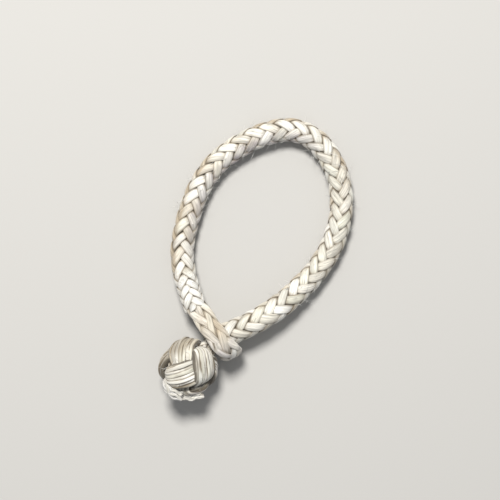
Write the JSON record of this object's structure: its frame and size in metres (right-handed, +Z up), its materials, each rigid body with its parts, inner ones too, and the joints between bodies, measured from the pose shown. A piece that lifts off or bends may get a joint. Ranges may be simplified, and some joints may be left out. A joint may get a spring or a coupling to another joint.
{
  "type": "soft shackle",
  "caption": "Soft shackle closed into a loop: hollow-braid rope with a buried leg, an eye drawn round the neck and a diamond stopper knot.",
  "frame": {"origin": "middle of the object's box in plan, on the surface that the loop lies on", "axes": "+Y along the loop from the stopper knot to the crown of the bow, +Z up out of the surface, +X to the right seen from above with the knot nearest"},
  "size_m": [0.0668, 0.1198, 0.0231],
  "materials": {
    "rope_outer": "matt fibrous braid, slight sheen, soiled in the crevices",
    "rope_core": "matt fibrous braid, clean, inside the outer leg",
    "rope_eye": "matt fibrous braid, pressed flat and slightly yellowed",
    "rope_knot": "matt fibrous braid, combed smooth, soiled in the crevices",
    "rope_tail": "cut and fused rope end, pale and glassy in places"
  },
  "bodies": {
    "loop": {"outer_sleeve": "rope_outer", "buried_core": "rope_core"},
    "eye": {"eye_over_leg": "rope_eye", "eye_under_leg": "rope_eye"},
    "knot": {"neck_leg_a": "rope_knot", "neck_leg_b": "rope_knot", "knot_strand_a": "rope_knot", "knot_strand_b": "rope_knot", "tail_a": "rope_tail", "tail_b": "rope_tail"}
  },
  "joints": [
    {"name": "eye_slide", "type": "slide", "parent": "loop", "child": "eye", "axis": [0.6455, 0.7638, 0], "range_m": [0, 0.012]},
    {"name": "knot_twist", "type": "hinge", "parent": "loop", "child": "knot", "pos_m": [-0.00353, -0.04779, 0.01145], "axis": [0.3704, 0.9246, -0.0888], "range_deg": [-45, 45], "stiffness_Nm_per_rad": 0.002}
  ]
}
